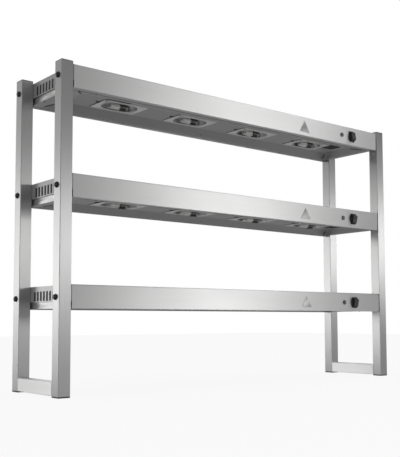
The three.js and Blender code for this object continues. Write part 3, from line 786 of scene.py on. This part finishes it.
# Lampholders
# A round grey holder hangs on a steel band and strap from the roof of each dish, with a black guard round
# its lower half. A bright spring plate comes down at the other end, to steady the lamp's tip.
fit_gap = 0.3 * MM
lamp_tip = -30.0 * MM
lamp_cap_radius = 7.2 * MM
lamp_cap_end = 24.0 * MM
holder_start, holder_end = 11.0 * MM, 39.0 * MM
holder_radius = 11.5 * MM
holder_edge = 0.8 * MM
holder_back_edge = 2.0 * MM
holder_groove = 0.7 * MM
groove_start, groove_end = 17.0 * MM, 19.5 * MM
groove_slope = 0.5 * MM
holder_bore = lamp_cap_radius + fit_gap
holder_profile = [
    (0, lamp_cap_end + fit_gap), (holder_bore, lamp_cap_end + fit_gap),
    (holder_bore, holder_start + holder_edge), (holder_bore + holder_edge, holder_start),
    (holder_radius - holder_edge, holder_start),
    (holder_radius, holder_start + holder_edge),
    (holder_radius, groove_start), (holder_radius - holder_groove, groove_start + groove_slope),
    (holder_radius - holder_groove, groove_end - groove_slope), (holder_radius, groove_end),
    (holder_radius, holder_end - holder_back_edge), (holder_radius - holder_back_edge, holder_end),
    (0, holder_end),
]
guard_wall = 0.9 * MM
guard_start, guard_end = 12.0 * MM, 34.0 * MM
guard_reach = math.radians(62)
bracket_start, bracket_end = 29.0 * MM, 36.0 * MM
bracket_wall = 1.0 * MM
bracket_half = 9.0 * MM
bracket_corner = 1.5 * MM
spring_half_wall = 0.6 * MM
spring_half_width = 9.0 * MM
spring_corner = 0.3 * MM
spring_place = -30.8 * MM
spring_foot = -9.0 * MM
holder_grey = brushed_steel("holder_grey", 0.2, "X", 0.5, 0.2)
guard_black = moulded_plastic("guard_black", (0.014, 0.012, 0.012), 0.42, 0.3)
bracket_steel = brushed_steel("bracket_steel", 0.3, "Z", 0.5, 0.4)
spring_bright = brushed_steel("spring_bright", 0.85, "Z", 0.3, 0.2)


def lamp_place(shelf, number):
    """The place on a heat lamp's axis from which its own and its holder's sizes along X are counted."""
    node = f"{shelf}_shelf_heat_lamp_{number}"
    return middle_of(node) * [0, 1, 1] + [box_of(node)[0][0] - lamp_tip, 0, 0]


def clamp_band(centre):
    """A thin steel band round a holder, where its strap joins it."""
    inner = holder_radius + fit_gap
    outer = inner + bracket_wall
    profile = [
        (inner, bracket_start), (outer, bracket_start), (outer, bracket_end), (inner, bracket_end),
        (inner, bracket_start),
    ]
    return turned(profile, centre, (1, 0, 0), around=40)


def holder_guard(centre):
    """A curved guard round the lower half of a holder: a rectangle turned about the lamp's axis."""
    angle = np.linspace(-guard_reach, guard_reach, 17)[:, None]
    radius = holder_radius + fit_gap + np.array([0, guard_wall, guard_wall, 0])
    rings = np.empty((angle.size, 4, 3))
    rings[..., 0] = [guard_start, guard_start, guard_end, guard_end]
    rings[..., 1] = radius * np.sin(angle)
    rings[..., 2] = -radius * np.cos(angle)
    return solid_through(rings + centre)


for shelf, number in lamps:
    centre = lamp_place(shelf, number)
    housing = f"{shelf}_shelf_lamp_housing_{number}"
    roof = box_of(housing)[1][2] - dish_wall
    mesh = turned(holder_profile, centre, (1, 0, 0), around=36)
    piece(f"{shelf}_shelf_lampholder_{number}", mesh, holder_grey, stands_for=[housing])
    piece(f"{shelf}_shelf_holder_guard_{number}", holder_guard(centre), guard_black)
    piece(f"{shelf}_shelf_holder_band_{number}", clamp_band(centre), bracket_steel)
    strap_heights = np.array([centre[2] + holder_radius + fit_gap + bracket_wall / 2, roof])
    rings = rounded_rings((bracket_end - bracket_start) / 2, bracket_half, bracket_corner, strap_heights)
    rings = rings + [centre[0] + (bracket_start + bracket_end) / 2, centre[1], 0]
    piece(f"{shelf}_shelf_holder_strap_{number}", solid_through(rings), bracket_steel)
    spring_heights = np.array([centre[2] + spring_foot, roof])
    rings = rounded_rings(spring_half_wall, spring_half_width, spring_corner, spring_heights)
    rings = rings + [centre[0] + spring_place, centre[1], 0]
    piece(f"{shelf}_shelf_tip_spring_{number}", solid_through(rings), spring_bright)


# Heat lamps
# A round-ended tube of frosted glass, level with the opening of its dish and drawn in to a metal cap, which
# is pushed into the holder.
lamp_radius = 10.5 * MM
lamp_shoulder, lamp_neck = 6.0 * MM, 10.5 * MM
shoulder = np.linspace(0, 1, 7)
lamp_profile = np.concatenate([
    np.stack([lamp_radius * np.sin(dome), lamp_tip + lamp_radius * (1 - np.cos(dome))], axis=1),
    np.stack([
        lamp_cap_radius + (lamp_radius - lamp_cap_radius) * (1 + np.cos(math.pi * shoulder)) / 2,
        lamp_shoulder + (lamp_neck - lamp_shoulder) * shoulder,
    ], axis=1),
    [[0, lamp_neck]],
])
lamp_cap_profile = [
    (0, lamp_neck), (lamp_cap_radius, lamp_neck),
    (lamp_cap_radius, lamp_cap_end - holder_edge), (lamp_cap_radius - holder_edge, lamp_cap_end),
    (0, lamp_cap_end),
]
lamp_cap_metal = brushed_steel("lamp_cap_metal", 0.62, "X", 0.3, 0.2)


def frosted_glass():
    """Glass frosted from the inside: pale, smooth outside, and a little cloudier in places."""
    material, shader = new_material("frosted_lamp_glass")
    tree = material.node_tree
    place = add(tree, "ShaderNodeTexCoord")
    cloud = noise(tree, place.outputs["Object"], 60.0, 4.0)
    tint(tree, shader, (0.62, 0.62, 0.6), spread(tree, cloud, 0.94, 1.06))
    tree.links.new(spread(tree, cloud, 0.22, 0.32), shader.inputs["Roughness"])
    shader.inputs["Coat Weight"].default_value = 0.4
    shader.inputs["Coat Roughness"].default_value = 0.08
    return material


lamp_glass = frosted_glass()
for shelf, number in lamps:
    centre = lamp_place(shelf, number)
    node = f"{shelf}_shelf_heat_lamp_{number}"
    mesh = turned(lamp_profile, centre, (1, 0, 0), around=40)
    piece(f"{shelf}_shelf_lamp_glass_{number}", mesh, lamp_glass, stands_for=[node])
    mesh = turned(lamp_cap_profile, centre, (1, 0, 0))
    piece(f"{shelf}_shelf_lamp_cap_{number}", mesh, lamp_cap_metal)


# Screws and clips
# Small dark steel screws hold the tray's lips and slopes and one corner of each bezel, and a dark spring
# clip grips the left end of each bezel.
screw_radius = 2.6 * MM
screw_height = 1.4 * MM
screw_sink = 0.4 * MM
screw_turn = np.linspace(0, math.pi / 2, 6)
screw_profile = np.concatenate([
    [[0, -screw_sink], [screw_radius, -screw_sink]],
    np.stack([screw_radius * np.cos(screw_turn), screw_height * np.sin(screw_turn)], axis=1),
])
screw_head = turned(screw_profile, (0, 0, 0), (0, 0, -1), around=14)
lip_screw_corner = ((614, 124), (703, 121), (698, 55))
lip_screws = np.array([
    (outwards * x, backwards * y, 0)
    for outwards in sides.values() for backwards in ends.values() for x, y in lip_screw_corner
]) * MM
slope_screws = np.array([(-18, -102, 4.2), (-18, 102, 4.2)]) * MM
bezel_screw = np.array([-80.0, -48.0, -1.5]) * MM
clip_place = np.array([-91.0, -11.5, 0]) * MM
clip_halves = np.array([(7.0, 7.0, 6.5), (2.6, 2.6, 2.1)]) * MM
clip_corner = 0.8 * MM
clip_heights = np.array([0.2, -1.6, -2.2]) * MM
clip = solid_through(rounded_rings(*clip_halves, clip_corner, clip_heights))
screw_steel = brushed_steel("screw_steel", 0.05, "X", 0.4, 0.2)
clip_steel = brushed_steel("clip_steel", 0.07, "X", 0.45, 0.3)
for shelf in shelves:
    on_lip = lip_place(shelf)
    on_pan = pan_places(shelf)
    places = np.concatenate([lip_screws + on_lip, slope_screws + on_lip, bezel_screw + on_pan])
    piece(f"{shelf}_shelf_underside_screws", repeated(screw_head, places), screw_steel)
    piece(f"{shelf}_shelf_bezel_clips", repeated(clip, clip_place + on_pan), clip_steel)


# Rocker switches
# A black moulding snaps into the fascia: a frame with soft edges round a well, and a broad rocker with a
# dished face that tips on trunnions in the well's side walls. Each rocker moves with a body of its own.
def faced_front(points):
    """The same points with their Z turned to the front, -Y, and their Y turned up."""
    return np.stack([points[..., 0], -points[..., 2], points[..., 1]], axis=-1)


frame_front = 2.8 * MM
frame_edge = 0.5 * MM
frame_corner = 1.5 * MM
switch_body_half = np.array([12.7, 20.3]) * MM
switch_body_corner = 0.5 * MM
switch_body_depth = 22.0 * MM
well_half = np.array([11.7, 19.3]) * MM
well_corner = 0.8 * MM
well_depth = 11.2 * MM
rocker_half_width = 11.4 * MM
rocker_radius = 19.0 * MM
rocker_reach = 14.5 * MM
rocker_back = 5.0 * MM
rocker_dish = 0.6 * MM
rocker_side_edge = 0.9 * MM
rocker_rest = {"bottom": math.radians(12), "middle": math.radians(12), "top": math.radians(-12)}
pivot_depth = 2.0 * MM
switch_black = moulded_plastic("switch_black", (0.02, 0.019, 0.019), 0.4, 0.25)
rocker_black = moulded_plastic("rocker_black", (0.016, 0.014, 0.014), 0.45, 0.15)


def switch_frame_rings(frame_half):
    """The closed skin of a switch, facing up: its body, round the frame's edge and down into the well."""
    skirt = frame_half - np.array([[0], [0], [frame_edge / 3], [frame_edge]])
    lip = well_half + np.array([[frame_edge], [frame_edge / 4], [0], [0]])
    longs, wides = np.concatenate([[switch_body_half, switch_body_half], skirt, lip]).T
    corner_radii = np.repeat([switch_body_corner, frame_corner, well_corner], [2, 4, 4])
    heights = np.array([
        -switch_body_depth, fit_gap,
        fit_gap, frame_front - frame_edge, frame_front - frame_edge / 3, frame_front,
        frame_front, frame_front - frame_edge / 4, frame_front - frame_edge, -well_depth,
    ])
    return rounded_rings(longs, wides, corner_radii, heights)


def rocker_outline(steps=14):
    """The side view of a rocker, [forward, up]: two round ends of one circle, a dished face and a flat back.

    The dish is a parabola: reach - dish * (1 - s squared), with s from -1 at its foot to 1 at its top.
    """
    face_angle = math.acos(rocker_reach / rocker_radius)
    back_angle = math.pi - math.acos(rocker_back / rocker_radius)
    upper = np.linspace(face_angle, back_angle, steps)
    lower = np.linspace(-back_angle, -face_angle, steps)
    across = np.linspace(-1, 1, steps + 2)[1:-1]
    face_half = rocker_radius * math.sin(face_angle)
    return np.concatenate([
        rocker_radius * np.stack([np.cos(lower), np.sin(lower)], axis=1),
        np.stack([rocker_reach - rocker_dish * (1 - across ** 2), face_half * across], axis=1),
        rocker_radius * np.stack([np.cos(upper), np.sin(upper)], axis=1),
    ])


def rocker_rings(lean):
    """A rocker about its trunnions: its outline along X, drawn in by a quarter circle at both sides."""
    turn = np.linspace(0, math.pi / 2, 5)
    inwards = rocker_side_edge * np.concatenate([1 - np.sin(turn), (1 - np.sin(turn))[::-1]])
    along = np.concatenate([
        -rocker_half_width + rocker_side_edge * (1 - np.cos(turn)),
        rocker_half_width - rocker_side_edge * (1 - np.cos(turn))[::-1],
    ])
    outline = rocker_outline() @ [[math.cos(lean), -math.sin(lean)], [math.sin(lean), math.cos(lean)]]
    share = 1 - inwards / rocker_radius
    rings = np.empty((along.size, len(outline), 3))
    rings[..., 0] = along[:, None]
    rings[..., 1] = -outline[:, 0] * share[:, None]
    rings[..., 2] = outline[:, 1] * share[:, None]
    return rings


def on_fascia(shelf, node):
    """The middle of a node on the front face of a shelf's casing."""
    return middle_of(node) * [1, 0, 1] + box_of(f"{shelf}_shelf_casing")[0] * [0, 1, 0]


for shelf in shelves:
    node = f"{shelf}_shelf_switch_housing"
    low, high = box_of(node)
    place = on_fascia(shelf, node)
    rings = faced_front(switch_frame_rings((high - low)[[0, 2]] / 2)) + place
    mesh = solid_through(rings, sharp=50)
    piece(f"{shelf}_shelf_switch_frame", mesh, switch_black, stands_for=[node])
    mesh = solid_through(rocker_rings(rocker_rest[shelf]) + place + [0, pivot_depth, 0], sharp=50)
    node = f"{shelf}_shelf_switch_rocker"
    name = f"{shelf}_shelf_rocker"
    piece(name, mesh, rocker_black, body=f"{shelf}_rocker", stands_for=[node])


# Indicator lamps
# A smoked lens like a low dome in a dark turned bezel, beside each switch. Its body is pushed through a hole
# in the fascia from the front.
ring_radius = 8.5 * MM
ring_height = 2.2 * MM
ring_edges = np.array([(0, 0.8), (0.3, 0.25), (0.9, 0)]) * MM
indicator_body = 6.0 * MM
indicator_body_depth = 18.0 * MM
lens_radius = 6.6 * MM
lens_height = 3.0 * MM
lens_play = 0.2 * MM
lens_seat = 1.0 * MM
indicator_dark = moulded_plastic("indicator_dark", (0.035, 0.034, 0.034), 0.3, 0.1)
indicator_lens = moulded_plastic("indicator_lens", (0.12, 0.12, 0.118), 0.14, 0.05, contrast=0.2)
ring_profile = [
    (0, -indicator_body_depth), (indicator_body, -indicator_body_depth), (indicator_body, fit_gap),
    (ring_radius, fit_gap), *(np.array([ring_radius, ring_height]) - ring_edges),
    (lens_radius, ring_height), (lens_radius, lens_seat), (0, lens_seat),
]
lens_profile = np.concatenate([
    [[0, lens_seat + lens_play], [lens_radius - lens_play, lens_seat + lens_play]],
    np.stack([(lens_radius - lens_play) * np.cos(dome), ring_height + lens_height * np.sin(dome)], axis=1),
])
for shelf in shelves:
    node = f"{shelf}_shelf_indicator"
    place = on_fascia(shelf, node)
    mesh = turned(ring_profile, place, (0, -1, 0))
    piece(f"{shelf}_shelf_indicator_ring", mesh, indicator_dark, stands_for=[node])
    mesh = turned(lens_profile, place, (0, -1, 0))
    piece(f"{shelf}_shelf_indicator_lens", mesh, indicator_lens)


# Cable gland
# A black nylon gland where the supply would enter, in the rear fascia of the bottom shelf, with its locknut
# inside. Its mouth is open, because the gantry is shown without its cable.
gland_black = moulded_plastic("gland_black", (0.022, 0.021, 0.021), 0.42, 0.3)
# Radius and distance from the fascia: the thread, the locknut, the thread again, the flange, the cap that
# tapers to the mouth, and back down the bore.
gland_profile = np.array([
    (4, -12), (9.8, -12), (9.8, -5.5), (13, -5.5), (13, -1.5), (9.8, -1.5), (9.8, 0.3),
    (12.2, 0.3), (13, 1.1), (13, 4.5), (12.2, 5.3), (10.9, 5.3), (10.5, 6), (10.5, 11),
    (10, 12.8), (8.8, 15), (7.4, 16.8), (6.4, 17.3), (4.6, 17.3), (4, 16.5), (4, -12),
]) * MM
gland_place = middle_of("cable_gland") * [1, 0, 1] + box_of("bottom_shelf_casing")[1] * [0, 1, 0]
mesh = turned(gland_profile, gland_place, (0, 1, 0), around=40)
piece("cable_gland_moulding", mesh, gland_black, stands_for=["cable_gland"])


# Plates
# A bare triangular plate of thin dull aluminium with rounded corners, stuck to each front fascia left of its
# indicator. Nothing is printed on it.
plate_corners = np.array([(286.5, -15.0), (313.0, -58.5), (260.0, -58.5)]) * MM
plate_corner_radius = 2.5 * MM
plate_edge = 0.15 * MM
plate_inner_radius = 15.0 * MM
plate_heights = np.array([-0.1, 0.35, 0.5]) * MM
plate_aluminium = brushed_steel("plate_aluminium", 0.42, "Z", 0.5, 0.4, line_contrast=0.04)
plate_start = (plate_corners[1:2] + plate_corners[2:]) / 2
plate_line = np.concatenate([plate_start, plate_corners[[2, 0, 1]], plate_start])
plate_outline = folded_path(plate_line, [plate_corner_radius] * 3)[:-1]
plate_middle = plate_corners.mean(axis=0)
plate_shrink = 1 - np.array([0, 0, plate_edge])[:, None, None] / plate_inner_radius
plate_rings = np.empty((3, len(plate_outline), 3))
plate_rings[..., :2] = plate_middle + (plate_outline - plate_middle) * plate_shrink
plate_rings[..., 2] = plate_heights[:, None]
for shelf in shelves:
    low, high = box_of(f"{shelf}_shelf_casing")
    rings = faced_front(plate_rings) + [0, low[1], high[2]]
    piece(f"{shelf}_shelf_plate", solid_through(rings), plate_aluminium)
